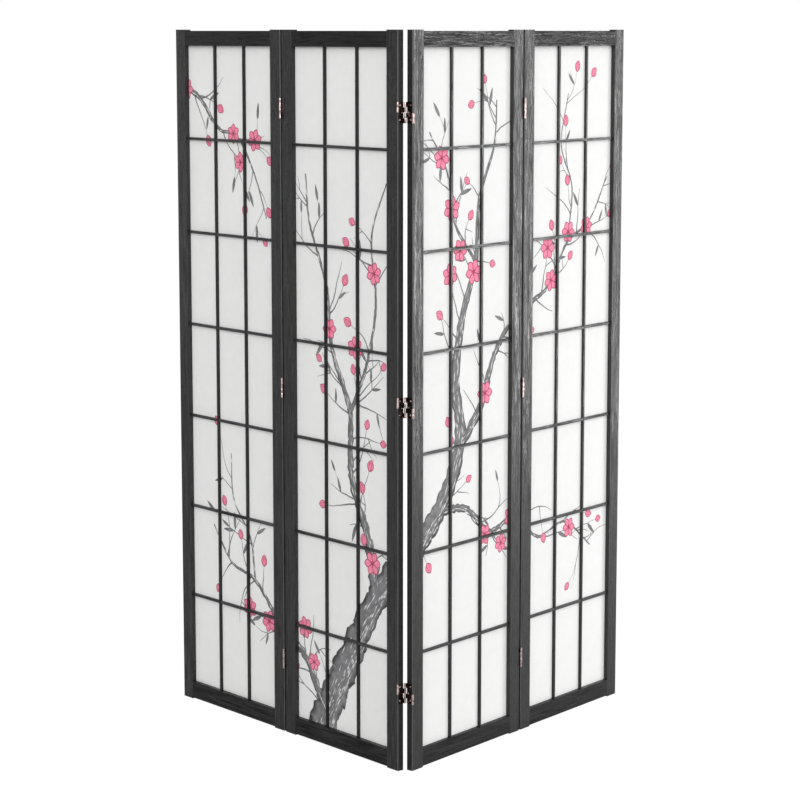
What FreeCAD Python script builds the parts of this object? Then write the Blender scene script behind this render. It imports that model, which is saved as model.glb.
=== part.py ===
"""Four-panel shoji folding screen: black-stained frames, paper lattice, two-way brass hinges.

Every panel is modelled in its own frame: x runs along its width from the left end, y runs from the
front face (negative) to the back face (positive) with 0 at mid depth, and z is up from the floor.
The panels are then stood in plan as a V with its apex to the front (-Y), and the whole screen is
centred on its footprint. Millimetres.
"""
import FreeCAD, Part
import math
import os
import Sketcher

# ---------------------------------------------------------------- driving sizes (alias, value, note)
SIZES = [
    ("panel_width", 445.0, "one panel over its stiles"),
    ("panel_height", 1780.0, "length of the stiles, floor to top"),
    ("frame_depth", 18.0, "thickness of stiles and rails"),
    ("stile_face", 41.0, "width of a stile seen from the front"),
    ("top_rail_face", 38.0, "height of the top rail"),
    ("bottom_rail_face", 44.0, "height of the bottom rail"),
    ("stile_overhang", 3.0, "stiles run past the rails by this at both ends"),
    ("edge_round", 2.5, "rounding of a stile's two outer long edges"),
    ("tenon_length", 20.0, "rail tenon, into the stile"),
    ("tenon_thick", 6.0, "rail tenon, front to back"),
    ("tenon_shoulder", 8.0, "rail tenon, set in from the rail's top and bottom"),
    ("glue_gap", 0.1, "play between a tenon and its mortise"),
    ("bar_face", 7.0, "width of a lattice bar seen from the front"),
    ("bar_depth", 6.0, "lattice bar, front to back"),
    ("bar_setback", 5.6, "lattice front behind the frame's front face"),
    ("lap_gap", 0.1, "play in the half-lap crossings of the lattice"),
    ("paper_thick", 0.5, "shoji paper"),
    ("rebate_width", 6.0, "step in the back of the frame that takes paper and beads"),
    ("seat_gap", 0.3, "play round the paper and the beads in the rebate"),
    ("bead_face", 8.0, "width of the retaining beads behind the paper"),
    ("fold_gap", 5.5, "gap between two panels opened flat"),
    ("axis_offset", 2.6, "hinge axes beyond the faces of the frame"),
    ("leaf_height", 50.0, "one hinge, top to bottom"),
    ("leaf_width", 15.0, "hinge plate on the stile's edge"),
    ("leaf_thick", 1.0, "hinge plate"),
    ("link_thick", 1.2, "crossing link plate in the gap"),
    ("half_gap", 1.0, "between the upper and lower half of a hinge"),
    ("knuckle_gap", 0.3, "between two knuckles on one pin"),
    ("pin_radius", 1.4, "hinge pin"),
    ("pin_play", 0.05, "radial clearance of a pin in its knuckles"),
    ("hinge_inset", 192.0, "end of the stile to the middle of the end hinges"),
    ("left_wing_angle", 49.8, "degrees: left pair of panels, turned back from the front line"),
    ("right_wing_angle", 51.8, "degrees: right pair of panels, turned back from the front line"),
]

COLUMNS = 3       # panes across one panel
ROWS = 7          # panes down one panel
BARREL_SIDES = 8  # flats on a knuckle, outside and in its bore

doc = FreeCAD.newDocument("shoji_screen")
sheet = doc.addObject("Spreadsheet::Sheet", "Sizes")
for row, (alias, value, note) in enumerate(SIZES, start=1):
    sheet.set(f"A{row}", alias)
    sheet.set(f"B{row}", str(value))
    sheet.set(f"C{row}", note)
    sheet.setAlias(f"B{row}", alias)
doc.recompute()


def size(alias):
    """A driving size as a number."""
    return float(getattr(sheet, alias))


def ex(text):
    """An expression over the sheet: every alias in the text gets the sheet's name in front."""
    words = {alias for alias, _, _ in SIZES}
    parts = text.replace("(", " ( ").replace(")", " ) ").split()
    return " ".join(f"Sizes.{p}" if p in words else p for p in parts)


# ---------------------------------------------------------------- formulas that several pieces share
FRONT = "( 0 - frame_depth / 2 )"
BACK = "( frame_depth / 2 )"
RAIL_START = "stile_face"
RAIL_RUN = "( panel_width - 2 * stile_face )"
PANE_LOW = "( stile_overhang + bottom_rail_face )"
PANE_HIGH = "( panel_height - stile_overhang - top_rail_face )"
COLUMN_PITCH = f"( ( {RAIL_RUN} + bar_face ) / {COLUMNS} )"
ROW_PITCH = f"( ( {PANE_HIGH} - {PANE_LOW} + bar_face ) / {ROWS} )"
BAR_FRONT = f"( {FRONT} + bar_setback )"
PAPER_FRONT = f"( {BAR_FRONT} + bar_depth )"
TENON_FRONT = "( 0 - tenon_thick / 2 )"
AXIS_OUT = "( frame_depth / 2 + axis_offset )"
KNUCKLE = "( ( leaf_height - half_gap - 2 * knuckle_gap ) / 4 )"
HALF = "( ( leaf_height - half_gap ) / 2 )"


def bind(obj, **expressions):
    """Binds properties to the sheet; a double underscore stands for the dot in a property's path."""
    for path, text in expressions.items():
        obj.setExpression(path.replace("__", "."), ex(text))
    return obj


def box(name, length, width, height, x, y, z):
    """A block: three sizes and the place of its low corner, all as expressions."""
    block = doc.addObject("Part::Box", name)
    return bind(block, Length=length, Width=width, Height=height,
                Placement__Base__x=x, Placement__Base__y=y, Placement__Base__z=z)


def rod(name, radius, height, x, y, z):
    """An upright round rod."""
    cylinder = doc.addObject("Part::Cylinder", name)
    return bind(cylinder, Radius=radius, Height=height,
                Placement__Base__x=x, Placement__Base__y=y, Placement__Base__z=z)


def barrel(name, reach, height, x, y, z):
    """An upright flat-sided barrel; reach is from its axis to the middle of each flat."""
    prism = doc.addObject("Part::Prism", name)
    prism.Polygon = BARREL_SIDES
    prism.Placement.Rotation = FreeCAD.Rotation(FreeCAD.Vector(0, 0, 1), 180 / BARREL_SIDES)
    to_corner = 1 / math.cos(math.pi / BARREL_SIDES)
    return bind(prism, Circumradius=f"( {reach} ) * {to_corner:.6f}", Height=height,
                Placement__Base__x=x, Placement__Base__y=y, Placement__Base__z=z)


def fuse(name, pieces):
    joined = doc.addObject("Part::MultiFuse", name)
    joined.Shapes = pieces
    joined.Refine = True
    return joined


def cut(name, base, tools):
    """The base less its tools."""
    result = doc.addObject("Part::Cut", name)
    result.Base = base
    result.Tool = tools[0] if len(tools) == 1 else fuse(f"{name}_tools", tools)
    return result


def group(name, pieces):
    """Separate solids of one kind in one node."""
    compound = doc.addObject("Part::Compound", name)
    compound.Links = pieces
    return compound


# ---------------------------------------------------------------- stiles
def origin_plane(body, role):
    return next(f for f in body.Origin.OriginFeatures if f.Role == role)


def section_sketch(body, name, across, deep):
    """A rectangle from x = 0 to across, centred front to back, on the body's floor plane."""
    sketch = body.newObject("Sketcher::SketchObject", name)
    sketch.AttachmentSupport = [(origin_plane(body, "XY_Plane"), "")]
    sketch.MapMode = "FlatFace"
    wide, half = size(across), size(deep) / 2
    corners = [(0, -half), (wide, -half), (wide, half), (0, half)]
    points = [FreeCAD.Vector(x, y, 0) for x, y in corners]
    for start, end in zip(points, points[1:] + points[:1]):
        sketch.addGeometry(Part.LineSegment(start, end), False)
    for line in range(4):
        sketch.addConstraint(Sketcher.Constraint("Coincident", line, 2, (line + 1) % 4, 1))
    for line, direction in ((0, "Horizontal"), (1, "Vertical"), (2, "Horizontal"), (3, "Vertical")):
        sketch.addConstraint(Sketcher.Constraint(direction, line))
    named = [
        ("across", Sketcher.Constraint("DistanceX", 0, 1, 0, 2, wide), across),
        ("deep", Sketcher.Constraint("DistanceY", 1, 1, 1, 2, 2 * half), deep),
        ("front", Sketcher.Constraint("DistanceY", 0, 1, -1, 1, half), f"{deep} / 2"),
    ]
    for label, constraint, expression in named:
        index = sketch.addConstraint(constraint)
        sketch.renameConstraint(index, label)
        sketch.setExpression(f"Constraints.{label}", ex(expression))
    sketch.addConstraint(Sketcher.Constraint("PointOnObject", 0, 1, -2))
    return sketch


def pocket_box(body, name, length, width, height, x, y, z):
    """A square-sided recess cut from the body, placed from its floor plane."""
    recess = body.newObject("PartDesign::SubtractiveBox", name)
    recess.AttachmentSupport = [(origin_plane(body, "XY_Plane"), "")]
    recess.MapMode = "FlatFace"
    bind(recess, Length=length, Width=width, Height=height, AttachmentOffset__Base__x=x,
         AttachmentOffset__Base__y=y, AttachmentOffset__Base__z=z)
    doc.recompute()
    return recess


def stile(name, outer_on_left):
    """A stile from x = 0: rounded on its outer edges, rebated and mortised on its inner side."""
    body = doc.addObject("PartDesign::Body", name)
    sketch = section_sketch(body, f"{name}_section", "stile_face", "frame_depth")
    pad = body.newObject("PartDesign::Pad", f"{name}_length")
    pad.Profile = sketch
    pad.setExpression("Length", ex("panel_height"))
    doc.recompute()
    outer_x = 0.0 if outer_on_left else size("stile_face")
    edges = [
        f"Edge{i}" for i, edge in enumerate(pad.Shape.Edges, start=1)
        if edge.Length > size("panel_height") / 2
        and abs(edge.CenterOfMass.x - outer_x) < 0.01
    ]
    rounding = body.newObject("PartDesign::Fillet", f"{name}_rounding")
    rounding.Base = (pad, edges)
    rounding.setExpression("Radius", ex("edge_round"))
    doc.recompute()
    before = body.Shape.Volume
    rebate_x = "stile_face - rebate_width" if outer_on_left else "0"
    mortise_x = "stile_face - tenon_length - glue_gap" if outer_on_left else "0"
    pocket_box(body, f"{name}_rebate", "rebate_width", f"{BACK} - {PAPER_FRONT}",
               f"{PANE_HIGH} - {PANE_LOW} + 2 * rebate_width",
               rebate_x, PAPER_FRONT, f"{PANE_LOW} - rebate_width")
    for end, low, face in (
        ("foot", "stile_overhang", "bottom_rail_face"),
        ("head", PANE_HIGH, "top_rail_face"),
    ):
        pocket_box(body, f"{name}_{end}_mortise", "tenon_length + glue_gap",
                   "tenon_thick + 2 * glue_gap",
                   f"{face} - 2 * tenon_shoulder + 2 * glue_gap",
                   mortise_x, f"{TENON_FRONT} - glue_gap", f"{low} + tenon_shoulder - glue_gap")
    if not body.Shape.Volume < before:
        raise RuntimeError(f"{name}: the recesses cut nothing")
    return body


# ---------------------------------------------------------------- rails, lattice, paper and beads
def rail(name, low, face, rebate_low):
    """A rail with a tenon at each end and the paper's rebate along its inner edge."""
    member = box(f"{name}_member", RAIL_RUN, "frame_depth", face, RAIL_START, FRONT, low)
    tenon = box(f"{name}_tenons", f"{RAIL_RUN} + 2 * tenon_length", "tenon_thick",
                f"{face} - 2 * tenon_shoulder", f"{RAIL_START} - tenon_length",
                TENON_FRONT, f"{low} + tenon_shoulder")
    rebate = box(f"{name}_rebate", RAIL_RUN, f"{BACK} - {PAPER_FRONT}", "rebate_width",
                 RAIL_START, PAPER_FRONT, rebate_low)
    return cut(name, fuse(f"{name}_blank", [member, tenon]), [rebate])


def column_x(column):
    """Left side of the vertical bar after this many panes."""
    return f"( stile_face - bar_face + {column} * {COLUMN_PITCH} )"


def row_z(row):
    """Underside of the cross bar above this many panes."""
    return f"( {PANE_LOW} - bar_face + {row} * {ROW_PITCH} )"


def vertical_bars(name):
    """Upright lattice bars, notched from behind where the cross bars lap into them."""
    bars = []
    for column in range(1, COLUMNS):
        bar = box(f"{name}_{column}_stock", "bar_face", "bar_depth", f"{PANE_HIGH} - {PANE_LOW}",
                  column_x(column), BAR_FRONT, PANE_LOW)
        laps = [
            box(f"{name}_{column}_lap_{row}", "bar_face", "bar_depth / 2", "bar_face + 2 * lap_gap",
                column_x(column), f"{BAR_FRONT} + bar_depth / 2", f"{row_z(row)} - lap_gap")
            for row in range(1, ROWS)
        ]
        bars.append(cut(f"{name}_{column}", bar, laps))
    return group(name, bars)


def cross_bars(name):
    """Level lattice bars, notched from the front where they pass behind the upright bars."""
    bars = []
    for row in range(1, ROWS):
        bar = box(f"{name}_{row}_stock", RAIL_RUN, "bar_depth", "bar_face",
                  RAIL_START, BAR_FRONT, row_z(row))
        laps = [
            box(f"{name}_{row}_lap_{column}", "bar_face + 2 * lap_gap",
                "bar_depth / 2 + lap_gap", "bar_face",
                f"{column_x(column)} - lap_gap", BAR_FRONT, row_z(row))
            for column in range(1, COLUMNS)
        ]
        bars.append(cut(f"{name}_{row}", bar, laps))
    return group(name, bars)


def paper(name):
    """The sheet, flat behind the lattice and let into the rebate all round."""
    grow = "( rebate_width - seat_gap )"
    return group(name, [
        box(f"{name}_sheet", f"{RAIL_RUN} + 2 * {grow}", "paper_thick",
            f"{PANE_HIGH} - {PANE_LOW} + 2 * {grow}",
            f"{RAIL_START} - {grow}", PAPER_FRONT, f"{PANE_LOW} - {grow}"),
    ])


def back_beads(name):
    """Four strips that hold the paper in the rebate, flush with the back of the frame."""
    start = f"( {RAIL_START} - rebate_width + seat_gap )"
    end = f"( {RAIL_START} + {RAIL_RUN} + rebate_width - seat_gap )"
    low = f"( {PANE_LOW} - rebate_width + seat_gap )"
    high = f"( {PANE_HIGH} + rebate_width - seat_gap )"
    back = f"( {PAPER_FRONT} + paper_thick )"
    deep = f"{BACK} - {back}"
    between = f"{end} - {start} - 2 * bead_face - 2 * glue_gap"
    inner = f"{start} + bead_face + glue_gap"
    return group(name, [
        box(f"{name}_left", "bead_face", deep, f"{high} - {low}", start, back, low),
        box(f"{name}_right", "bead_face", deep, f"{high} - {low}", f"{end} - bead_face", back, low),
        box(f"{name}_top", between, deep, "bead_face", inner, back, f"{high} - bead_face"),
        box(f"{name}_bottom", between, deep, "bead_face", inner, back, low),
    ])


# ---------------------------------------------------------------- two-way hinges
# In each hinge the upper link joins the left panel's front pin to the right panel's back pin, and the
# lower link joins the left panel's back pin to the right panel's front pin. Folded back, the panels
# turn on the back pins, which are then in line, and folded forwards on the front pins.
HINGE_FLOORS = [
    "( hinge_inset - leaf_height / 2 )",
    "( panel_height / 2 - leaf_height / 2 )",
    "( panel_height - hinge_inset - leaf_height / 2 )",
]
UPPER_LEAF = f"( leaf_height - {KNUCKLE} )"
UPPER_LINK = f"( leaf_height - {HALF} )"
LOWER_LINK = f"( {KNUCKLE} + knuckle_gap )"


def knuckle(name, x, y, z):
    """The outside of a rolled knuckle, which just fills the fold gap."""
    return barrel(name, "fold_gap / 2", KNUCKLE, x, y, z)


def bore(name, x, y, z):
    """The hole that a pin passes through."""
    return barrel(name, "pin_radius + pin_play", KNUCKLE, x, y, z)


def leaf(name, floor, on_right_end, upper_in_front, filled=None):
    """A plate on a stile's edge with a knuckle at one face above and at the other face below."""
    plate_x = "panel_width" if on_right_end else "( 0 - leaf_thick )"
    axis_x = "( panel_width + fold_gap / 2 )" if on_right_end else "( 0 - fold_gap / 2 )"
    solids = [box(f"{name}_plate", "leaf_thick", "leaf_width", "leaf_height",
                  plate_x, "0 - leaf_width / 2", floor)]
    bores = []
    for level, z, in_front in (
        ("upper", f"{floor} + {UPPER_LEAF}", upper_in_front),
        ("lower", floor, not upper_in_front),
    ):
        axis_y = f"( 0 - {AXIS_OUT} )" if in_front else AXIS_OUT
        tongue_y = axis_y if in_front else "leaf_width / 2"
        solids.append(box(f"{name}_{level}_tongue", "leaf_thick", f"{AXIS_OUT} - leaf_width / 2",
                          KNUCKLE, plate_x, tongue_y, z))
        solids.append(knuckle(f"{name}_{level}_knuckle", axis_x, axis_y, z))
        if level != filled:
            bores.append(bore(f"{name}_{level}_bore", axis_x, axis_y, z))
    return cut(name, fuse(f"{name}_blank", solids), bores)


def link(name, floor, offset, on_right_end, filled=None):
    """A plate across the gap with an eye at each end."""
    axis_x = "( panel_width + fold_gap / 2 )" if on_right_end else "( 0 - fold_gap / 2 )"
    z = f"{floor} + {offset}"
    solids = [box(f"{name}_plate", "link_thick", f"2 * {AXIS_OUT}", KNUCKLE,
                  f"{axis_x} - link_thick / 2", f"0 - {AXIS_OUT}", z)]
    bores = []
    for place, axis_y in (("front", f"( 0 - {AXIS_OUT} )"), ("back", AXIS_OUT)):
        solids.append(knuckle(f"{name}_{place}_eye", axis_x, axis_y, z))
        if place != filled:
            bores.append(bore(f"{name}_{place}_bore", axis_x, axis_y, z))
    return cut(name, fuse(f"{name}_blank", solids), bores)


def pin(name, floor, offset, in_front, on_right_end):
    """A pin through the two knuckles on one axis, in one half of a hinge."""
    axis_x = "( panel_width + fold_gap / 2 )" if on_right_end else "( 0 - fold_gap / 2 )"
    axis_y = f"( 0 - {AXIS_OUT} )" if in_front else AXIS_OUT
    return rod(name, "pin_radius", HALF, axis_x, axis_y, f"{floor} + {offset}")


def fold_hardware(fold):
    """The hinge pieces of one fold: {node: which panel's frame it lies in}.

    The closed loop of plates is opened at the left panel's back axis. There the pin is cut between
    the leaf and the lower link, and each half is one piece with the knuckle or eye that it fills.
    """
    name = f"fold_{fold}"
    left_panel, right_panel = fold, fold + 1
    levels = list(enumerate(HINGE_FLOORS, start=1))
    left_pins = []
    right_pins = []
    for level, floor in levels:
        left_pins.append(pin(f"{name}_left_pin_{level}", floor, UPPER_LINK, True, True))
        right_pins.append(pin(f"{name}_right_back_pin_{level}", floor, UPPER_LINK, False, False))
        right_pins.append(pin(f"{name}_right_front_pin_{level}", floor, "0", True, False))
    return [
        (group(f"{name}_left_leaves", [
            leaf(f"{name}_left_leaf_{level}", floor, True, True, filled="lower")
            for level, floor in levels
        ]), left_panel),
        (group(f"{name}_right_leaves", [
            leaf(f"{name}_right_leaf_{level}", floor, False, False) for level, floor in levels
        ]), right_panel),
        (group(f"{name}_upper_links", [
            link(f"{name}_upper_link_{level}", floor, UPPER_LINK, True) for level, floor in levels
        ]), left_panel),
        (group(f"{name}_lower_links", [
            link(f"{name}_lower_link_{level}", floor, LOWER_LINK, False, filled="back")
            for level, floor in levels
        ]), right_panel),
        (group(f"{name}_left_pins", left_pins), left_panel),
        (group(f"{name}_right_pins", right_pins), right_panel),
    ]


# ---------------------------------------------------------------- plan of the standing screen
def direction(yaw):
    """Along a panel, left to right, for a yaw in degrees about +Z."""
    return FreeCAD.Vector(math.cos(math.radians(yaw)), math.sin(math.radians(yaw)), 0)


def backwards(yaw):
    """From a panel's front to its back."""
    return direction(yaw + 90)


def panel_plan():
    """{panel: (place of its left end, yaw)} and the back axis of each fold, apex axis at 0, 0."""
    left_yaw, right_yaw = -size("left_wing_angle"), size("right_wing_angle")
    yaws = {1: left_yaw, 2: left_yaw, 3: right_yaw, 4: right_yaw}
    width, half_gap = size("panel_width"), size("fold_gap") / 2
    out = size("frame_depth") / 2 + size("axis_offset")
    starts = {}
    back_axes = {2: FreeCAD.Vector(0, 0, 0)}

    def right_of(axis, yaw):
        return axis + direction(yaw) * half_gap - backwards(yaw) * out

    def left_of(axis, yaw):
        return axis - direction(yaw) * (half_gap + width) - backwards(yaw) * out

    starts[3] = right_of(back_axes[2], yaws[3])
    starts[2] = left_of(back_axes[2], yaws[2])
    back_axes[3] = starts[3] + direction(yaws[3]) * (width + half_gap) + backwards(yaws[3]) * out
    back_axes[1] = starts[2] - direction(yaws[2]) * half_gap + backwards(yaws[2]) * out
    starts[4] = right_of(back_axes[3], yaws[4])
    starts[1] = left_of(back_axes[1], yaws[1])
    return {panel: (starts[panel], yaws[panel]) for panel in yaws}, back_axes


PLAN, BACK_AXES = panel_plan()


def stand(node, panel, along=0.0):
    """Moves a node from its panel's frame to where that panel stands."""
    start, yaw = PLAN[panel]
    turn = FreeCAD.Rotation(FreeCAD.Vector(0, 0, 1), yaw)
    node.Placement = FreeCAD.Placement(start + direction(yaw) * along, turn)


# ---------------------------------------------------------------- the assembly
nodes = []
for panel in PLAN:
    name = f"panel_{panel}"
    left = stile(f"{name}_left_stile", True)
    right = stile(f"{name}_right_stile", False)
    pieces = [
        rail(f"{name}_top_rail", PANE_HIGH, "top_rail_face", PANE_HIGH),
        rail(f"{name}_bottom_rail", "stile_overhang", "bottom_rail_face",
             f"{PANE_LOW} - rebate_width"),
        vertical_bars(f"{name}_vertical_bars"),
        cross_bars(f"{name}_cross_bars"),
        paper(f"{name}_paper"),
        back_beads(f"{name}_back_beads"),
    ]
    stand(left, panel)
    stand(right, panel, size("panel_width") - size("stile_face"))
    nodes += [left, right]
    doc.recompute()
    for piece in pieces:
        stand(piece, panel)
        nodes.append(piece)
for fold in (1, 2, 3):
    for piece, panel in fold_hardware(fold):
        stand(piece, panel)
        nodes.append(piece)
doc.recompute()

# The frame's origin is under the middle of the footprint.
footprint = FreeCAD.BoundBox()
for node in nodes:
    footprint.add(node.Shape.BoundBox)
centre = FreeCAD.Vector(footprint.Center.x, footprint.Center.y, footprint.ZMin)
for node in nodes:
    node.Placement.Base = node.Placement.Base - centre
doc.recompute()

# ---------------------------------------------------------------- checks and files
for obj in doc.Objects:
    if "Invalid" in obj.State or "Error" in obj.State:
        raise RuntimeError(f"{obj.Name}: {obj.State}")
os.makedirs("parts", exist_ok=True)
for node in nodes:
    if node.Shape.isNull() or not node.Shape.isValid():
        raise RuntimeError(f"{node.Label}: no valid shape")
    node.Shape.exportStep(f"parts/{node.Label}.step")

print(f"{len(nodes)} nodes, footprint {footprint.XLength:.1f} x {footprint.YLength:.1f} mm, "
      f"height {footprint.ZLength:.1f} mm")
for fold, axis in sorted(BACK_AXES.items()):
    left_yaw, right_yaw = PLAN[fold][1], PLAN[fold + 1][1]
    out = 2 * (size("frame_depth") / 2 + size("axis_offset"))
    front_left = axis - backwards(left_yaw) * out
    front_right = axis - backwards(right_yaw) * out
    for label, point in (("back", axis), ("left front", front_left), ("right front", front_right)):
        print(f"fold {fold} {label} axis at {point.x - centre.x:.4f}, {point.y - centre.y:.4f}")
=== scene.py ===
"""Dresses the four-panel shoji screen: stained wood, printed paper, aged hinges and a plain stage."""

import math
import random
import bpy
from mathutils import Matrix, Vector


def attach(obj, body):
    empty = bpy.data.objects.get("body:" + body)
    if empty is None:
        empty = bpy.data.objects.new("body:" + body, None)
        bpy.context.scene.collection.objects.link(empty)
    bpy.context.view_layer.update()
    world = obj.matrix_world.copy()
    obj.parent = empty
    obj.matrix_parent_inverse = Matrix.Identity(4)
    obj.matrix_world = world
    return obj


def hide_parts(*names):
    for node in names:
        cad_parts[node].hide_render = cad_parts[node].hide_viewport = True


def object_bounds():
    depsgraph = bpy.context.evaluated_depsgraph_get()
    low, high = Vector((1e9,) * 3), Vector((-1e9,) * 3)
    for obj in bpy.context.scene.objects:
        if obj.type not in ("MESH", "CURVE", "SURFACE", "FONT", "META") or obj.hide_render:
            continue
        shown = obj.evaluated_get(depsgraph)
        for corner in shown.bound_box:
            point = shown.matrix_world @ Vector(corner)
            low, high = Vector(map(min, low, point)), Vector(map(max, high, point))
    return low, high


bl_info = {
    "name": "Shoji Folding Screen",
    "version": (1, 0, 0),
    "blender": (4, 5, 0),
    "location": "View3D > Sidebar > Shoji Screen",
    "description": "Stained wood, printed paper and brass hinges for a four-panel folding screen",
    "category": "Object",
}

import bpy
from bpy.props import FloatProperty, FloatVectorProperty, IntProperty, PointerProperty
from mathutils import Matrix, Vector

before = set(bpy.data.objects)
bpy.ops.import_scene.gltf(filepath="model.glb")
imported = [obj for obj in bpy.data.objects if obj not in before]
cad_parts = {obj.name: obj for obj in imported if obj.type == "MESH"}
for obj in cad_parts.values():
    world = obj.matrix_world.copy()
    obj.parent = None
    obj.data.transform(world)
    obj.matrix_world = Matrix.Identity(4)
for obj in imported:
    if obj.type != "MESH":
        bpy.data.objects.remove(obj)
CAD_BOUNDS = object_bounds()

PANELS = (1, 2, 3, 4)
FOLDS = (1, 2, 3)
COLUMNS = 3
ROWS = 7
MM = 0.001


# ---------------------------------------------------------------- where the panels stand
class PanelPlan:
    """One panel's own axes: x along its width from the left end, y from mid depth to its back, z up."""

    def __init__(self, number):
        self.number = number
        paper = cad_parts[f"panel_{number}_paper"].data.vertices
        plan = sorted({(round(v.co.x, 6), round(v.co.y, 6)) for v in paper})
        left_end = (Vector(plan[0]) + Vector(plan[1])) / 2
        right_end = (Vector(plan[-1]) + Vector(plan[-2])) / 2
        self.along = (right_end - left_end).normalized().to_3d()
        self.back = Vector((-self.along.y, self.along.x, 0))
        self.yaw = math.atan2(self.along.y, self.along.x)
        stile = [v.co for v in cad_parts[f"panel_{number}_left_stile"].data.vertices]
        start = min(p.dot(self.along) for p in stile)
        depths = [p.dot(self.back) for p in stile]
        self.origin = self.along * start + self.back * (min(depths) + max(depths)) / 2
        turn = Matrix((self.along, self.back, Vector((0, 0, 1)))).transposed()
        self.matrix = Matrix.Translation(self.origin) @ turn.to_4x4()

    def extent(self, node):
        """Lowest and highest corner of a CAD node in this panel's axes."""
        inverse = self.matrix.inverted()
        points = [inverse @ v.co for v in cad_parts[node].data.vertices]
        low = Vector(min(p[i] for p in points) for i in range(3))
        high = Vector(max(p[i] for p in points) for i in range(3))
        return low, high


PLANS = {number: PanelPlan(number) for number in PANELS}
FIRST = PLANS[1]
STILE_LOW, STILE_HIGH = FIRST.extent("panel_1_left_stile")
RIGHT_LOW, RIGHT_HIGH = FIRST.extent("panel_1_right_stile")
SHEET_LOW, SHEET_HIGH = FIRST.extent("panel_1_paper")
FRONT_FACE = STILE_LOW.y
PANEL_WIDTH = RIGHT_HIGH.x
OPEN_LEFT, OPEN_RIGHT = STILE_HIGH.x, RIGHT_LOW.x
OPEN_LOW, OPEN_HIGH = (corner.z for corner in FIRST.extent("panel_1_vertical_bars"))
PAPER_FRONT = SHEET_LOW.y
NEXT_PANEL = (PLANS[2].origin - PLANS[1].origin).length


# ---------------------------------------------------------------- settings
class ScreenSizes(bpy.types.PropertyGroup):
    """Sizes that the finish of the screen adds to the construction."""

    paper_thickness: FloatProperty(
        name="Paper thickness", description="Thickness of the shoji paper",
        default=0.2 * MM, unit="LENGTH")
    paper_setback: FloatProperty(
        name="Paper setback", description="Paper behind the back of the lattice",
        default=0.16 * MM, unit="LENGTH")
    paper_slack: FloatProperty(
        name="Paper slack", description="How far the paper gives back in the middle of a pane",
        default=0.20 * MM, unit="LENGTH")
    blossom_size: FloatProperty(
        name="Blossom size", description="Width of an open printed blossom",
        default=55 * MM, unit="LENGTH")
    bough_seed: IntProperty(
        name="Bough seed", description="Start of the draws that place the printed twigs",
        default=11)


class ScreenColours(bpy.types.PropertyGroup):
    """Colours of the finishes."""

    wood_face: FloatVectorProperty(
        name="Wood face", description="Brushed and stained faces of the frame",
        subtype="COLOR", size=3, default=(0.0075, 0.0075, 0.0080))
    # Painted shade: this darker colour for the faces that look sideways, up or down stands for the
    # shade that falls on them.
    wood_side_painted_shade: FloatVectorProperty(
        name="Wood side", description="Deep black stain on the narrow sides",
        subtype="COLOR", size=3, default=(0.003, 0.003, 0.003))
    paper: FloatVectorProperty(
        name="Paper", description="Shoji paper",
        subtype="COLOR", size=3, default=(0.90, 0.90, 0.895))
    ink: FloatVectorProperty(
        name="Ink", description="Printed boughs",
        subtype="COLOR", size=3, default=(0.190, 0.190, 0.195))
    petal: FloatVectorProperty(
        name="Petal", description="Printed petals",
        subtype="COLOR", size=3, default=(0.82, 0.245, 0.360))
    petal_edge: FloatVectorProperty(
        name="Petal edge", description="Outline and veins of the printed petals",
        subtype="COLOR", size=3, default=(0.36, 0.050, 0.105))
    brass_dark: FloatVectorProperty(
        name="Brass patina", description="Dark patina of the hinges",
        subtype="COLOR", size=3, default=(0.022, 0.012, 0.011))
    brass_worn: FloatVectorProperty(
        name="Worn brass", description="Rubbed copper-coloured edges of the hinges",
        subtype="COLOR", size=3, default=(0.82, 0.64, 0.60))


# ---------------------------------------------------------------- node helpers
def principled(name):
    """A new material with its tree and its shader."""
    material = bpy.data.materials.new(name)
    material.use_nodes = True
    tree = material.node_tree
    return material, tree, tree.nodes["Principled BSDF"]


def node(tree, kind, values=None, **settings):
    """A node with its settings and the values or links of its inputs."""
    made = tree.nodes.new(kind)
    for key, value in settings.items():
        setattr(made, key, value)
    for socket, value in (values or {}).items():
        if isinstance(value, bpy.types.NodeSocket):
            tree.links.new(value, made.inputs[socket])
        else:
            made.inputs[socket].default_value = value
    return made


def panel_space(tree, plan):
    """Object coordinates turned into a panel's axes."""
    coordinates = node(tree, "ShaderNodeTexCoord")
    turned = node(tree, "ShaderNodeMapping",
                  {"Vector": coordinates.outputs["Object"], "Rotation": (0, 0, -plan.yaw)})
    normal = node(tree, "ShaderNodeMapping",
                  {"Vector": coordinates.outputs["Normal"], "Rotation": (0, 0, -plan.yaw)},
                  vector_type="NORMAL")
    return turned.outputs["Vector"], normal.outputs["Vector"]


def stretched(tree, vector, scale):
    return node(tree, "ShaderNodeMapping", {"Vector": vector, "Scale": scale}).outputs["Vector"]


def noise(tree, vector, scale, detail=2.0, roughness=0.5, distortion=0.0):
    made = node(tree, "ShaderNodeTexNoise",
                {"Vector": vector, "Scale": scale, "Detail": detail, "Roughness": roughness,
                 "Distortion": distortion})
    return made.outputs["Fac"]


def math_node(tree, operation, first, second=0.0, clamp=False):
    made = node(tree, "ShaderNodeMath", {0: first, 1: second}, operation=operation, use_clamp=clamp)
    return made.outputs["Value"]


def span(tree, value, low, high, out_low=0.0, out_high=1.0):
    """A value's range stretched to another range, cut off at its ends."""
    made = node(tree, "ShaderNodeMapRange",
                {"Value": value, "From Min": low, "From Max": high,
                 "To Min": out_low, "To Max": out_high})
    return made.outputs["Result"]


def blend_colour(tree, factor, first, second):
    """A mix of two colours, each a value or a link."""
    made = node(tree, "ShaderNodeMix", data_type="RGBA", blend_type="MIX")
    for number, value in ((0, factor), (6, first), (7, second)):
        socket = made.inputs[number]
        if isinstance(value, bpy.types.NodeSocket):
            tree.links.new(value, socket)
        else:
            socket.default_value = value
    return made.outputs[2]


def opaque(colour, factor=1.0):
    return (*(c * factor for c in colour), 1.0)


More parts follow.
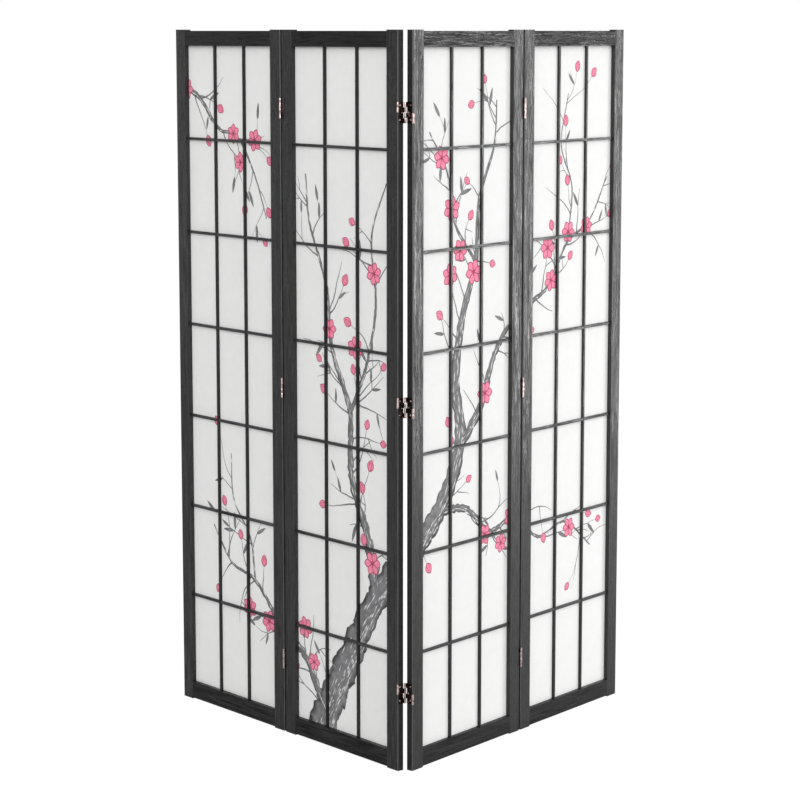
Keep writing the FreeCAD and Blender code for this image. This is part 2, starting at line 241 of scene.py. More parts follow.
def bump(tree, height, distance, strength=1.0):
    values = {"Height": height, "Distance": distance, "Strength": strength}
    return node(tree, "ShaderNodeBump", values).outputs["Normal"]


# ---------------------------------------------------------------- finishes
def stained_wood(name, plan, upright, gloss, painted_lightness):
    """Open-grained wood under a black stain: brushed faces, painted shade on the narrow sides, a
    painted highlight on the round edges.
    """
    colours = bpy.context.scene.screen_colours
    material, tree, shader = principled(name)
    place, normal = panel_space(tree, plan)

    def drawn_out(share):
        return stretched(tree, place, (1, 1, share) if upright else (share, 1, 1))

    streaks = noise(tree, drawn_out(0.020), 300.0, 4.0, 0.65, 0.3)
    fibres = noise(tree, drawn_out(0.030), 1500.0, 2.0, 0.6)
    broad = noise(tree, drawn_out(0.030), 34.0, 1.5)
    rings = span(tree, math_node(tree, "SINE", math_node(tree, "MULTIPLY", broad, 110.0)), -1.0, 1.0)
    pores = span(tree, noise(tree, drawn_out(0.055), 1250.0, 1.0), 0.58, 0.68)
    mottle = noise(tree, drawn_out(0.35), 420.0, 3.0, 0.7)
    figure = noise(tree, drawn_out(0.11), 135.0, 2.0, 0.6, 0.5)

    tone = 0.0
    for part, weight in ((streaks, 0.33), (fibres, 0.13), (mottle, 0.11), (rings, 0.11),
                         (figure, 0.32)):
        tone = math_node(tree, "ADD", tone, math_node(tree, "MULTIPLY", part, weight))
    tone = span(tree, tone, 0.40, 0.61)
    # Painted light: each part's lightness factor makes its face lighter or darker to stand for the
    # sheen and shade that part catches; the grain is the wood's own.
    face = blend_colour(tree, tone, opaque(colours.wood_face, 0.1 * painted_lightness),
                        opaque(colours.wood_face, 3.6 * painted_lightness))
    face = blend_colour(tree, math_node(tree, "MULTIPLY", pores, 0.8), face,
                        opaque(colours.wood_face, 0.1 * painted_lightness))
    # Painted shade: faces that do not look to the front or back get this much darker colour, standing
    # for the shade in the reveals and under the rails.
    painted_side_shade = blend_colour(tree, tone, opaque(colours.wood_side_painted_shade, 0.6), opaque(colours.wood_side_painted_shade, 1.9))
    depthwise = node(tree, "ShaderNodeSeparateXYZ", {"Vector": normal}).outputs["Y"]
    depthwise = math_node(tree, "ABSOLUTE", depthwise)
    colour = blend_colour(tree, span(tree, depthwise, 0.35, 0.9), painted_side_shade, face)
    # Painted highlight: the rounded edges get a colour eleven times the face colour, standing for the
    # sheen of the lights along them.
    wear_and_sheen = math_node(tree, "MULTIPLY", span(tree, depthwise, 0.30, 0.50),
                       span(tree, depthwise, 0.97, 0.80))
    wear_and_sheen = math_node(tree, "MULTIPLY", wear_and_sheen, span(tree, streaks, 0.25, 0.55, 0.4, 1.0))
    colour = blend_colour(tree, wear_and_sheen, colour, opaque(colours.wood_face, 11.0))
    tree.links.new(colour, shader.inputs["Base Color"])

    rough = span(tree, tone, 0.0, 1.0, 0.56, 0.18)
    rough = math_node(tree, "ADD", rough, math_node(tree, "MULTIPLY", pores, 0.25), clamp=True)
    tree.links.new(rough, shader.inputs["Roughness"])
    shader.inputs["Specular IOR Level"].default_value = gloss
    relief = math_node(tree, "SUBTRACT", math_node(tree, "MULTIPLY", tone, 0.7), pores)
    tree.links.new(bump(tree, relief, 0.22 * MM, 1.0), shader.inputs["Normal"])
    return material


def shoji_paper(name, plan):
    """Fibrous white paper that lets some light through."""
    colours = bpy.context.scene.screen_colours
    material, tree, shader = principled(name)
    place, _ = panel_space(tree, plan)
    cloud = noise(tree, place, 42.0, 3.0, 0.6)
    fibres = noise(tree, stretched(tree, place, (1, 1, 0.22)), 620.0, 2.0, 0.6, 1.2)
    mottle = math_node(tree, "ADD", math_node(tree, "MULTIPLY", cloud, 0.55),
                       math_node(tree, "MULTIPLY", fibres, 0.45))
    tint = blend_colour(tree, span(tree, mottle, 0.35, 0.65),
                        opaque(colours.paper, 0.965), opaque(colours.paper, 1.0))
    tree.links.new(tint, shader.inputs["Base Color"])
    shader.inputs["Roughness"].default_value = 0.85
    shader.inputs["Specular IOR Level"].default_value = 0.2
    tree.links.new(bump(tree, fibres, 0.05 * MM, 0.4), shader.inputs["Normal"])
    through = node(tree, "ShaderNodeBsdfTranslucent", {"Color": tint})
    mixed = node(tree, "ShaderNodeMixShader",
                 {0: 0.22, 1: shader.outputs["BSDF"], 2: through.outputs["BSDF"]})
    tree.links.new(mixed.outputs["Shader"], tree.nodes["Material Output"].inputs["Surface"])
    return material


def brush_ink(name, plan):
    """Grey printing ink, laid on unevenly."""
    colours = bpy.context.scene.screen_colours
    material, tree, shader = principled(name)
    place, _ = panel_space(tree, plan)
    cloud = noise(tree, place, 60.0, 3.0, 0.6)
    ink = blend_colour(tree, span(tree, cloud, 0.35, 0.65),
                       opaque(colours.ink, 0.8), opaque(colours.ink, 1.25))
    tree.links.new(ink, shader.inputs["Base Color"])
    shader.inputs["Roughness"].default_value = 0.8
    shader.inputs["Specular IOR Level"].default_value = 0.2
    return material


def petal_ink(name, plan, colour, spread):
    """Pink printing ink, a little cloudy."""
    material, tree, shader = principled(name)
    place, _ = panel_space(tree, plan)
    cloud = noise(tree, place, 170.0, 3.0, 0.6)
    tint = blend_colour(tree, span(tree, cloud, 0.35, 0.65),
                        opaque(colour, 1 - spread), opaque(colour, 1 + spread))
    tree.links.new(tint, shader.inputs["Base Color"])
    shader.inputs["Roughness"].default_value = 0.8
    shader.inputs["Specular IOR Level"].default_value = 0.2
    return material


def aged_brass(name, patina):
    """Dark antique brass, rubbed through to a copper colour where the patina is thin."""
    colours = bpy.context.scene.screen_colours
    material, tree, shader = principled(name)
    place = node(tree, "ShaderNodeTexCoord").outputs["Object"]
    patches = noise(tree, place, 190.0, 4.0, 0.6)
    scratches = noise(tree, stretched(tree, place, (1, 1, 0.12)), 1400.0, 2.0)
    worn = math_node(tree, "ADD", math_node(tree, "MULTIPLY", patches, 0.75),
                     math_node(tree, "MULTIPLY", scratches, 0.25))
    worn = span(tree, worn, patina - 0.10, patina + 0.14)
    tree.links.new(blend_colour(tree, worn, opaque(colours.brass_dark), opaque(colours.brass_worn)),
                   shader.inputs["Base Color"])
    shader.inputs["Metallic"].default_value = 1.0
    tree.links.new(span(tree, scratches, 0.3, 0.7, 0.22, 0.42), shader.inputs["Roughness"])
    tree.links.new(bump(tree, scratches, 0.04 * MM, 0.5), shader.inputs["Normal"])
    return material


def set_finish(piece, *materials):
    """Gives a piece its materials; every face keeps its material's number."""
    numbers = [face.material_index for face in piece.data.polygons]
    piece.data.materials.clear()
    for material in materials:
        piece.data.materials.append(material)
    for face, number in zip(piece.data.polygons, numbers):
        face.material_index = number


# ---------------------------------------------------------------- modelling helpers
def deselect():
    bpy.ops.object.select_all(action="DESELECT")


def take(piece):
    """Makes one object the only selected and the active one."""
    deselect()
    piece.select_set(True)
    bpy.context.view_layer.objects.active = piece


def settle(piece, matrix=None):
    """Moves a piece by a matrix and leaves its place in its mesh, with its object at the origin."""
    if matrix is not None:
        piece.matrix_world = matrix @ piece.matrix_world
    take(piece)
    bpy.ops.object.transform_apply(location=True, rotation=True, scale=True)


def join(name, pieces):
    take(pieces[0])
    for piece in pieces[1:]:
        piece.select_set(True)
    if len(pieces) > 1:
        bpy.ops.object.join()
    pieces[0].name = name
    pieces[0].data.name = name
    return pieces[0]


def slack_at(x, z):
    """How far the paper gives back at a point: most in the middle of a pane, 0 at the bars."""
    across = (x - OPEN_LEFT) / (OPEN_RIGHT - OPEN_LEFT) * COLUMNS
    up = (z - OPEN_LOW) / (OPEN_HIGH - OPEN_LOW) * ROWS
    if not (0 < across < COLUMNS and 0 < up < ROWS):
        return 0.0
    share = math.sin(math.pi * (across % 1)) * math.sin(math.pi * (up % 1))
    return bpy.context.scene.screen_sizes.paper_slack * share ** 0.5


# ---------------------------------------------------------------- pieces
WOOD_FINISHES = (  # name, whether the grain runs up, gloss, painted lightness of the face standing for the light each part catches, parts of a panel
    ("stiles", True, 0.62, 1.0, ("left_stile", "right_stile")),
    ("bars", True, 0.48, 0.5, ("vertical_bars",)),
    ("rails", False, 0.26, 1.0, ("top_rail", "bottom_rail", "back_beads")),
    ("cross_bars", False, 0.55, 2.4, ("cross_bars",)),
)
PAPER_EDGE_ROOM = 0.4 * MM


class SCREEN_OT_wood(bpy.types.Operator):
    """Stain the frames, the lattice and the beads of every panel"""

    bl_idname = "screen.wood"
    bl_label = "Stained wood"

    def execute(self, context):
        for number, plan in PLANS.items():
            for name, upright, gloss, painted_lightness, parts in WOOD_FINISHES:
                finish = stained_wood(f"stained_wood_{name}_{number}", plan, upright, gloss, painted_lightness)
                for part in parts:
                    set_finish(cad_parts[f"panel_{number}_{part}"], finish)
        return {"FINISHED"}


class SCREEN_OT_paper(bpy.types.Operator):
    """Stretch a sheet of paper behind the lattice of every panel"""

    bl_idname = "screen.paper"
    bl_label = "Shoji paper"

    def execute(self, context):
        sizes = context.scene.screen_sizes
        width, height = SHEET_HIGH.x - SHEET_LOW.x, SHEET_HIGH.z - SHEET_LOW.z
        for number, plan in PLANS.items():
            deselect()
            bpy.ops.mesh.primitive_grid_add(x_subdivisions=COLUMNS * 10,
                                            y_subdivisions=ROWS * 12, size=1)
            sheet = context.active_object
            sheet.name = sheet.data.name = f"panel_{number}_paper_sheet"
            upright = Matrix.Rotation(math.pi / 2, 4, "X")
            centre = Vector(((SHEET_LOW.x + SHEET_HIGH.x) / 2, PAPER_FRONT + sizes.paper_setback,
                             (SHEET_LOW.z + SHEET_HIGH.z) / 2))
            spread = Matrix.Diagonal((width - PAPER_EDGE_ROOM, height - PAPER_EDGE_ROOM, 1, 1))
            settle(sheet, Matrix.Translation(centre) @ upright @ spread)
            for vertex in sheet.data.vertices:
                vertex.co.y += slack_at(vertex.co.x, vertex.co.z)
            thickness = sheet.modifiers.new("thickness", "SOLIDIFY")
            thickness.thickness = sizes.paper_thickness
            thickness.offset = -1
            take(sheet)
            bpy.ops.object.modifier_apply(modifier=thickness.name)
            bpy.ops.object.shade_smooth_by_angle(angle=math.radians(30))
            settle(sheet, plan.matrix)
            set_finish(sheet, shoji_paper(f"shoji_paper_{number}", plan))
            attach(sheet, f"panel_{number}")
            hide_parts(f"panel_{number}_paper")
        return {"FINISHED"}


# ---------------------------------------------------------------- the print
# Strokes and stamps are placed on the screen opened flat: run is measured from the left end of the
# first panel, rise from the floor. A stroke is a list of (run, rise, half width in millimetres).
STROKE_STEP = 9 * MM
# Each layer lies flat, this far behind the front of the CAD sheet. The visual sheet begins further
# back, at paper_setback, and gives back from there, so the print stands a little way in front of it.
BOUGH_DEPTH = 0.100 * MM
FLECK_DEPTH = 0.075 * MM
STAMP_DEPTH = 0.055 * MM
PRINT_UNDER_FRAME = 3 * MM
BOUGHS = [
    [(0.560, 0.000, 52), (0.625, 0.120, 47), (0.700, 0.250, 41), (0.780, 0.380, 36),
     (0.870, 0.490, 33), (0.965, 0.570, 31), (1.050, 0.660, 27), (1.105, 0.790, 22),
     (1.085, 0.930, 17), (1.110, 1.080, 13), (1.165, 1.220, 9), (1.180, 1.370, 6),
     (1.240, 1.500, 4), (1.250, 1.610, 2)],
    [(0.800, 0.420, 17), (0.765, 0.560, 14), (0.705, 0.700, 11), (0.700, 0.860, 9),
     (0.630, 1.010, 7), (0.610, 1.160, 5), (0.545, 1.310, 3.5), (0.530, 1.430, 2)],
    [(0.700, 0.850, 7), (0.765, 0.980, 5), (0.800, 1.130, 4), (0.785, 1.290, 3), (0.840, 1.420, 2)],
    [(1.100, 0.770, 15), (1.190, 0.860, 12), (1.250, 0.990, 9), (1.350, 1.080, 7),
     (1.470, 1.130, 5.5), (1.560, 1.240, 4), (1.660, 1.290, 3), (1.740, 1.400, 1.8)],
    [(1.020, 0.620, 12), (1.130, 0.610, 9), (1.230, 0.540, 7), (1.340, 0.560, 5),
     (1.440, 0.490, 4), (1.560, 0.510, 3), (1.680, 0.430, 1.8)],
    [(-0.020, 1.640, 8), (0.080, 1.610, 6.5), (0.170, 1.530, 5), (0.250, 1.510, 3.6),
     (0.320, 1.420, 2.6), (0.370, 1.310, 1.6)],
    [(0.600, 0.080, 14), (0.520, 0.210, 10), (0.420, 0.270, 7), (0.310, 0.370, 5),
     (0.210, 0.400, 3.6), (0.130, 0.490, 2)],
    [(0.310, 0.370, 3.6), (0.290, 0.480, 2.8), (0.220, 0.570, 2.2), (0.210, 0.690, 1.4)],
    [(1.165, 1.220, 5), (1.080, 1.320, 4), (1.050, 1.440, 3), (0.980, 1.540, 1.8)],
    [(1.560, 1.240, 3), (1.580, 1.380, 2.4), (1.530, 1.490, 2), (1.560, 1.620, 1.4)],
]


def curve_points(stroke, step):
    """Points along a smooth curve through a stroke's points, a step apart, with their half widths."""
    points = [Vector((run, rise, half * MM)) for run, rise, half in stroke]
    points = [2 * points[0] - points[1], *points, 2 * points[-1] - points[-2]]
    run_of_points = []
    for before, start, end, after in zip(points, points[1:], points[2:], points[3:]):
        count = max(1, round((end - start).length / step))
        for i in range(count):
            t = i / count
            run_of_points.append(
                (2 * start + (end - before) * t
                 + (2 * before - 5 * start + 4 * end - after) * t * t
                 + (3 * start - before - 3 * end + after) * t ** 3) / 2)
    run_of_points.append(points[-2])
    return run_of_points


def roughened(points, wander, edge, draws):
    """Brushed strokes: their line wanders a little, and their width swells and shrinks."""
    phase, beat = draws.uniform(0, 6.3), draws.uniform(0.5, 0.8)
    brushed = []
    for i, p in enumerate(points):
        swell = 1 + edge * (0.5 * math.sin(phase + beat * i) + 0.3 * math.sin(2.3 * beat * i)
                            + draws.uniform(-0.35, 0.35))
        aside = Vector((draws.uniform(-wander, wander), draws.uniform(-wander, wander))) * p.z
        brushed.append(Vector((p.x + aside.x, p.y + aside.y, max(0.4 * MM, p.z * swell))))
    return brushed


def twig(start, heading, length, half, draws):
    """A stroke that leaves a bough, bends and thins out."""
    points = [start]
    bend = draws.uniform(-0.35, 0.35)
    steps = 5
    for i in range(1, steps + 1):
        heading += bend / steps * 2 + draws.uniform(-0.22, 0.22)
        reach = length / steps
        previous = points[-1]
        points.append((previous[0] + math.cos(heading) * reach,
                       previous[1] + math.sin(heading) * reach))
    return [(x, z, half * (1 - 0.75 * i / steps)) for i, (x, z) in enumerate(points)], heading


def grow(seed):
    """All strokes, flecks of bare paper on them, and stamps (kind, run, rise, turn, scale)."""
    draws = random.Random(seed)
    strokes, flecks, stamps = [], [], []

    def clear_of_others(run, rise, room):
        return all((run - s[1]) ** 2 + (rise - s[2]) ** 2 > room ** 2
                   for s in stamps if s[0] != "leaf")

    def stamp(kind, run, rise, turn, scale, room):
        if clear_of_others(run, rise, room):
            stamps.append((kind, run, rise, turn, scale))

    for bough in BOUGHS:
        line = curve_points(bough, STROKE_STEP)
        strokes.append(roughened(line, 0.05 if bough[0][2] > 20 else 0.25, 0.16, draws))
        for i in range(2, len(line) - 2):
            heading = math.atan2(line[i + 1].y - line[i - 1].y, line[i + 1].x - line[i - 1].x)
            half = line[i].z
            for _ in range(round(half * 60 + draws.uniform(-0.5, 0.5))):
                aside = draws.triangular(-0.85, 0.88, 0.60) * half
                place = Vector((line[i].x + math.sin(heading) * aside,
                                line[i].y - math.cos(heading) * aside))
                reach = draws.uniform(5, 17) * MM
                thick = draws.uniform(0.9, 2.6) * MM
                tilt = heading + draws.uniform(-0.12, 0.12)
                ahead = Vector((math.cos(tilt), math.sin(tilt))) * reach
                flecks.append([Vector((*(place - ahead), 0.1 * MM)), Vector((*place, thick)),
                               Vector((*(place + ahead), 0.1 * MM))])
            thin = half < 16 * MM
            if draws.random() < (0.21 if thin else 0.05):
                side = draws.choice((-1, 1))
                length = draws.uniform(0.05, 0.15) * (1.0 if thin else 0.8)
                width = min(2.2, half / MM * 0.6)
                points, end = twig((line[i].x, line[i].y), heading + side * draws.uniform(0.5, 1.15),
                                   length, width, draws)
                strokes.append(roughened(curve_points(points, STROKE_STEP), 0.3, 0.12, draws))
                tip = points[-1]
                ending = draws.choice(("blossom", "bud", "bud", "bare", "bare"))
                if ending == "blossom":
                    stamp("blossom", tip[0], tip[1], draws.uniform(0, 6.3),
                          draws.uniform(0.85, 1.12), 0.060)
                elif ending == "bud":
                    stamp("bud", tip[0], tip[1], end, draws.uniform(0.85, 1.1), 0.045)
                middle = points[3]
                if draws.random() < 0.45:
                    side_twig, side_end = twig(middle[:2], end + draws.choice((-1, 1)) * 0.8,
                                               length * 0.5, width * 0.6, draws)
                    strokes.append(
                        roughened(curve_points(side_twig, STROKE_STEP), 0.3, 0.12, draws))
                    kind = draws.choice(("bud", "leaf", "leaf"))
                    stamp(kind, side_twig[-1][0], side_twig[-1][1], side_end,
                          draws.uniform(0.8, 1.1), 0.045)
                if draws.random() < 0.5:
                    turn = end + draws.choice((-1, 1)) * draws.uniform(0.5, 1.0)
                    stamp("leaf", middle[0], middle[1], turn, draws.uniform(0.8, 1.2), 0.030)
            if thin and draws.random() < 0.055:
                stamp("blossom", line[i].x, line[i].y, draws.uniform(0, 6.3),
                      draws.uniform(0.9, 1.15), 0.070)
    return strokes, flecks, stamps


def printed_strokes(name, strokes, depth, material):
    """Flat brushed strokes in a panel's axes, at one depth."""
    deselect()
    bpy.ops.curve.primitive_nurbs_path_add()
    piece = bpy.context.active_object
    piece.name = name
    curve = piece.data
    curve.splines.clear()
    curve.bevel_depth = 1.0
    curve.bevel_resolution = 1
    for stroke in strokes:
        spline = curve.splines.new("POLY")
        spline.points.add(len(stroke) - 1)
        for point, (run, rise, half) in zip(spline.points, stroke):
            point.co = (run, rise, 0, 1)
            point.radius = half
    take(piece)
    bpy.ops.object.convert(target="MESH")
    piece = bpy.context.active_object
    flat = Matrix.Diagonal((1, 1, 0.0002, 1))
    settle(piece, Matrix.Translation((0, depth, 0)) @ Matrix.Rotation(math.pi / 2, 4, "X") @ flat)
    set_finish(piece, material)
    return piece


def outline_shape(name, outline, rim, depth, inks):
    """A flat printed shape facing the front: its inside in the first ink, its rim in the second."""
    deselect()
    bpy.ops.mesh.primitive_circle_add(vertices=len(outline), radius=1, fill_type="NGON",
                                      rotation=(math.pi / 2, 0, 0))
    piece = bpy.context.active_object
    piece.name = name
    settle(piece)
    for vertex, (x, z) in zip(piece.data.vertices, outline):
        vertex.co = (x, depth, z)
    bpy.ops.object.mode_set(mode="EDIT")
    bpy.ops.mesh.select_all(action="SELECT")
    bpy.ops.mesh.inset(thickness=rim, depth=0)
    bpy.ops.object.mode_set(mode="OBJECT")
    for face in piece.data.polygons:
        face.material_index = 0 if len(face.vertices) == len(outline) else 1
    set_finish(piece, *inks)
    return piece


def pointed_oval(length, width, fullest, count=16):
    """Outline from (0, 0) to (length, 0), widest at a share of its length, pointed at its tip."""
    half = []
    for i in range(count // 2 + 1):
        t = i / (count // 2)
        swell = math.sin(math.pi * t ** (math.log(0.5) / math.log(fullest))) ** 0.8
        half.append((t * length, swell * width / 2))
    upper = half
    lower = [(x, -z) for x, z in half[1:-1]]
    return lower + upper[::-1]


def turned(outline, turn):
    """An outline turned about its start."""
    return [(x * math.cos(turn) - z * math.sin(turn), x * math.sin(turn) + z * math.cos(turn))
            for x, z in outline]


def master_blossom(size, inks):
    """An open blossom of six pointed petals with a ring of stamens, facing the front."""
    parts = []
    for petal in range(6):
        outline = turned(pointed_oval(size * 0.52, size * 0.36, 0.60), math.radians(60 * petal))
        parts.append(outline_shape("petal", outline, 1.9 * MM, -0.005 * MM * petal, inks))
    for spoke in range(9):
        reach = size * (0.16 if spoke % 2 else 0.12)
        line = [(0, -0.35 * MM), (reach, -0.25 * MM), (reach + 1.2 * MM, -0.8 * MM),
                (reach + 2.2 * MM, 0),
                (reach + 1.2 * MM, 0.8 * MM), (reach, 0.25 * MM), (0, 0.35 * MM)]
        line = turned(line, math.radians(40 * spoke + 12))
        parts.append(outline_shape("stamen", line, 0.05 * MM, -0.035 * MM, inks))
        for face in parts[-1].data.polygons:
            face.material_index = 1
    return join("blossom", parts)


def master_bud(size, inks):
    """A closed bud with two folded petals."""
    parts = [outline_shape("bud", pointed_oval(size * 0.56, size * 0.42, 0.48), 1.8 * MM, 0.0, inks),
             outline_shape("bud_fold", pointed_oval(size * 0.46, size * 0.20, 0.48), 1.0 * MM,
                           -0.006 * MM, inks)]
    return join("bud", parts)


def master_leaf(size, inks):
    """A slender grey leaf."""
    return outline_shape("leaf", pointed_oval(size * 0.75, size * 0.17, 0.42), 0.8 * MM, 0.0, inks)


def clipped(piece, low_x, high_x, low_z, high_z):
    """Cuts away what lies outside the given limits."""
    take(piece)
    bpy.ops.object.mode_set(mode="EDIT")
    for place, normal in (((low_x, 0, 0), (-1, 0, 0)), ((high_x, 0, 0), (1, 0, 0)),
                          ((0, 0, low_z), (0, 0, -1)), ((0, 0, high_z), (0, 0, 1))):
        bpy.ops.mesh.select_all(action="SELECT")
        bpy.ops.mesh.bisect(plane_co=place, plane_no=normal, clear_outer=True)
    bpy.ops.object.mode_set(mode="OBJECT")


class SCREEN_OT_print(bpy.types.Operator):
    """Print boughs and blossoms on the paper, running on from panel to panel"""

    bl_idname = "screen.print"
    bl_label = "Printed boughs"

    def execute(self, context):
        sizes, colours = context.scene.screen_sizes, context.scene.screen_colours
        strokes, flecks, stamps = grow(sizes.bough_seed)
        low, high = OPEN_LEFT - PRINT_UNDER_FRAME, OPEN_RIGHT + PRINT_UNDER_FRAME
        for number, plan in PLANS.items():
            shift = (number - 1) * NEXT_PANEL

            def local(lines):
                moved = [[Vector((p.x - shift, p.y, p.z)) for p in line] for line in lines]
                return [line for line in moved
                        if any(low - 0.02 < p.x < high + 0.02 for p in line)]

            ink = brush_ink(f"brush_ink_{number}", plan)
            bare = bpy.data.materials[f"shoji_paper_{number}"]
            boughs = join(f"panel_{number}_print_boughs", [
                printed_strokes("strokes", local(strokes), PAPER_FRONT + BOUGH_DEPTH, ink),
                printed_strokes("flecks", local(flecks), PAPER_FRONT + FLECK_DEPTH, bare)])
            inks = (petal_ink(f"petal_ink_{number}", plan, colours.petal, 0.12),
                    petal_ink(f"petal_edge_ink_{number}", plan, colours.petal_edge, 0.10))
            masters = {"blossom": master_blossom(sizes.blossom_size, inks),
                       "bud": master_bud(sizes.blossom_size, inks),
                       "leaf": master_leaf(sizes.blossom_size, (ink, ink))}
            copies = []
            for kind, run, rise, turn, scale in stamps:
                reach = sizes.blossom_size
                if not low - reach < run - shift < high + reach:
                    continue
                copy = masters[kind].copy()
                copy.data = masters[kind].data.copy()
                context.collection.objects.link(copy)
                copy.matrix_world = (Matrix.Translation((run - shift, PAPER_FRONT + STAMP_DEPTH, rise))
                                     @ Matrix.Rotation(-turn, 4, "Y")
                                     @ Matrix.Diagonal((scale, 1, scale, 1)))
                copies.append(copy)
            for master in masters.values():
                bpy.data.objects.remove(master)
            blossoms = join(f"panel_{number}_print_blossoms", copies)
            take(blossoms)
            bpy.ops.object.transform_apply(location=True, rotation=True, scale=True)
            for piece in (boughs, blossoms):
                clipped(piece, low, high, OPEN_LOW - PRINT_UNDER_FRAME,
                        OPEN_HIGH + PRINT_UNDER_FRAME)
                settle(piece, plan.matrix)
                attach(piece, f"panel_{number}")
        return {"FINISHED"}


# ---------------------------------------------------------------- the hinges
LEAF_THICK = 1.0 * MM
LEAF_HEIGHT = 50.0 * MM
SCREW_PLACES = [(-3.2 * MM, 8.0 * MM), (3.2 * MM, 25.0 * MM), (-3.2 * MM, 42.0 * MM)]
LEAVES_LOW, LEAVES_HIGH = (corner.z for corner in FIRST.extent("fold_1_left_leaves"))
HINGE_FLOORS = [
    LEAVES_LOW,
    (LEAVES_LOW + LEAVES_HIGH - LEAF_HEIGHT) / 2,
    LEAVES_HIGH - LEAF_HEIGHT,
]
BARREL_ROUNDING = 0.85 * MM
PATINA = 0.67
RUBBED_PATINA = 0.42
SCREW_RADIUS = 2.2 * MM
SCREW_PROUD = 0.35 * MM


def eased_copy(name, source, plan):
    """A copy of a hinge node with round barrels and eased edges; barrels take material 1."""
    deselect()
    piece = source.copy()
    piece.data = source.data.copy()
    bpy.context.collection.objects.link(piece)
    piece.name = piece.data.name = name
    take(piece)
    bpy.ops.object.mode_set(mode="EDIT")
    bpy.ops.mesh.select_all(action="SELECT")
    bpy.ops.mesh.remove_doubles(threshold=0.002 * MM)
    bpy.ops.mesh.dissolve_limited(angle_limit=math.radians(1))
    bpy.ops.object.mode_set(mode="OBJECT")
    mesh = piece.data
    faces_of = {}
    for face in mesh.polygons:
        for key in face.edge_keys:
            faces_of.setdefault(key, []).append(face)
    weights = mesh.attributes.new("bevel_weight_edge", "FLOAT", "EDGE")
    for edge in mesh.edges:
        beside = faces_of.get(tuple(sorted(edge.vertices)), [])
        if len(beside) != 2:
            continue
        first, second = beside
        bulges = (second.center - first.center).dot(first.normal) < 0
        # The facets of a barrel meet at 45 degrees, and square edges at 90.
        turn = math.degrees(first.normal.angle(second.normal))
        if bulges and 40 < turn < 50:
            weights.data[edge.index].value = 1.0
        elif bulges and turn > 80:
            weights.data[edge.index].value = 0.2
    easing = piece.modifiers.new("easing", "BEVEL")
    easing.limit_method = "WEIGHT"
    easing.width = BARREL_ROUNDING
    easing.offset_type = "OFFSET"
    easing.segments = 3
    bpy.ops.object.modifier_apply(modifier=easing.name)
    bpy.ops.object.shade_smooth_by_angle(angle=math.radians(32))
    inverse = plan.matrix.inverted()
    for face in piece.data.polygons:
        face.material_index = int(abs((inverse @ face.center).y) > abs(FRONT_FACE))
    return piece


def master_screw(radius, proud):
    """A low countersunk head with a cross recess, facing +X."""
    deselect()
    bpy.ops.mesh.primitive_cylinder_add(vertices=20, radius=radius, depth=2 * proud)
    head = bpy.context.active_object
    top = head.modifiers.new("dome", "BEVEL")
    top.width = proud * 0.8
    top.segments = 3
    take(head)
    bpy.ops.object.modifier_apply(modifier=top.name)
    for turn in (0, math.pi / 2):
        deselect()
        bpy.ops.mesh.primitive_cube_add(size=1, location=(0, 0, proud), rotation=(0, 0, turn),
                                        scale=(radius * 1.25, radius * 0.26, proud * 1.4))
        slot = bpy.context.active_object
        recess = head.modifiers.new("recess", "BOOLEAN")
        recess.operation = "DIFFERENCE"
        recess.object = slot
        take(head)
        bpy.ops.object.modifier_apply(modifier=recess.name)
        bpy.data.objects.remove(slot)
    bpy.ops.object.shade_smooth_by_angle(angle=math.radians(35))
    settle(head, Matrix.Rotation(math.pi / 2, 4, "Y"))
    return head


class SCREEN_OT_hinges(bpy.types.Operator):
    """Round the hinges' barrels, screw their leaves to the stiles and give them aged brass"""

    bl_idname = "screen.hinges"
    bl_label = "Brass hinges"

    def execute(self, context):
        brass = aged_brass("aged_brass", PATINA)
        wear_and_sheen = aged_brass("rubbed_brass", RUBBED_PATINA)
        screw = master_screw(SCREW_RADIUS, SCREW_PROUD)
        for fold in FOLDS:
            for part in ("left_pins", "right_pins"):
                set_finish(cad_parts[f"fold_{fold}_{part}"], wear_and_sheen)
            for part, body, panel in (("left_leaves", f"panel_{fold}", fold),
                                      ("right_leaves", f"panel_{fold + 1}", fold + 1),
                                      ("upper_links", f"upper_link_{fold}", fold),
                                      ("lower_links", f"lower_link_{fold}", fold + 1)):
                cad_node = f"fold_{fold}_{part}"
                piece = eased_copy(f"{cad_node}_rounded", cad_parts[cad_node], PLANS[panel])
                set_finish(piece, brass, wear_and_sheen)
                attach(piece, body)
                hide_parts(cad_node)
            for side, panel, face_x, turn in (("left", fold, PANEL_WIDTH + LEAF_THICK, 0.0),
                                              ("right", fold + 1, -LEAF_THICK, math.pi)):
                heads = []
                for floor in HINGE_FLOORS:
                    for y, up in SCREW_PLACES:
                        copy = screw.copy()
                        copy.data = screw.data.copy()
                        context.collection.objects.link(copy)
                        copy.matrix_world = (Matrix.Translation((face_x, y, floor + up))
                                             @ Matrix.Rotation(turn, 4, "Z")
                                             @ Matrix.Rotation(0.7 * len(heads), 4, "X"))
                        heads.append(copy)
                screws = join(f"fold_{fold}_{side}_screws", heads)
                settle(screws, PLANS[panel].matrix)
                set_finish(screws, wear_and_sheen)
                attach(screws, f"panel_{panel}")
        bpy.data.objects.remove(screw)
        return {"FINISHED"}


